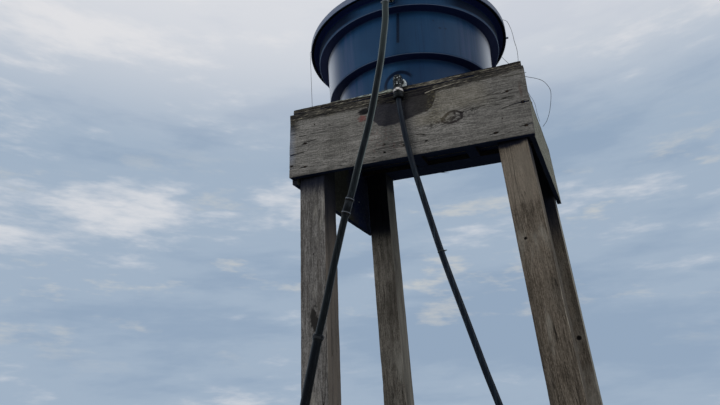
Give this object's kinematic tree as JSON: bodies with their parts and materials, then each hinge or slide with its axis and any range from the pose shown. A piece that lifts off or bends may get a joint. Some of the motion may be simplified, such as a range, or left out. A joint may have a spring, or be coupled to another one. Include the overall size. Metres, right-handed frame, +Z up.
{
  "type": "water tower",
  "caption": "Farm water tower: stepped blue plastic tank with a shallow lid on a rough leaning timber stand of posts and wide planks, with inlet and outlet hoses.",
  "frame": {"origin": "on the floor, below the middle of the object as seen from above, its hoses left out", "axes": "+Z up, the front plank faces -Y, X runs along the front plank"},
  "size_m": [1.4854, 1.2639, 3.828],
  "materials": {
    "post_timber": "rough sawn, weathered grey",
    "plank_timber": "wide rough plank, weathered grey",
    "deck_timber": "weathered, mossy edges",
    "tank_plastic": "moulded polyethylene, weathered blue",
    "white_plastic": "rigid plastic fitting",
    "black_plastic": "black moulded fitting",
    "hose_plastic": "black polyethylene hose",
    "clamp_steel": "dull hose clamp band",
    "tie_wire": "dull galvanised wire"
  },
  "bodies": {
    "root": {"post_front_left": "post_timber", "post_front_right": "post_timber", "post_back_left": "post_timber", "post_back_right": "post_timber", "front_plank": "plank_timber", "left_plank": "plank_timber", "right_plank": "plank_timber", "front_bearer": "deck_timber", "back_bearer": "deck_timber", "joist_left": "deck_timber", "joist_right": "deck_timber", "deck_board_1": "deck_timber", "deck_board_2": "deck_timber", "deck_board_3": "deck_timber", "deck_board_4": "deck_timber", "deck_board_5": "deck_timber", "tank_body": "tank_plastic", "tank_lid": "tank_plastic", "outlet_flange": "white_plastic", "outlet_nut": "white_plastic", "outlet_elbow": "black_plastic", "outlet_clamp": "clamp_steel", "outlet_hose": "hose_plastic", "outlet_coupling": "black_plastic", "inlet_flange": "black_plastic", "inlet_nut": "black_plastic", "inlet_elbow": "black_plastic", "inlet_clamp": "clamp_steel", "inlet_hose": "hose_plastic", "inlet_sleeve": "black_plastic", "inlet_sleeve_clamp_upper": "clamp_steel", "inlet_sleeve_clamp_lower": "clamp_steel", "inlet_lower_hose": "hose_plastic", "inlet_low_clamp": "clamp_steel", "inlet_coupling": "black_plastic", "lid_wire": "tie_wire", "wire_tail": "tie_wire"}
  },
  "joints": []
}
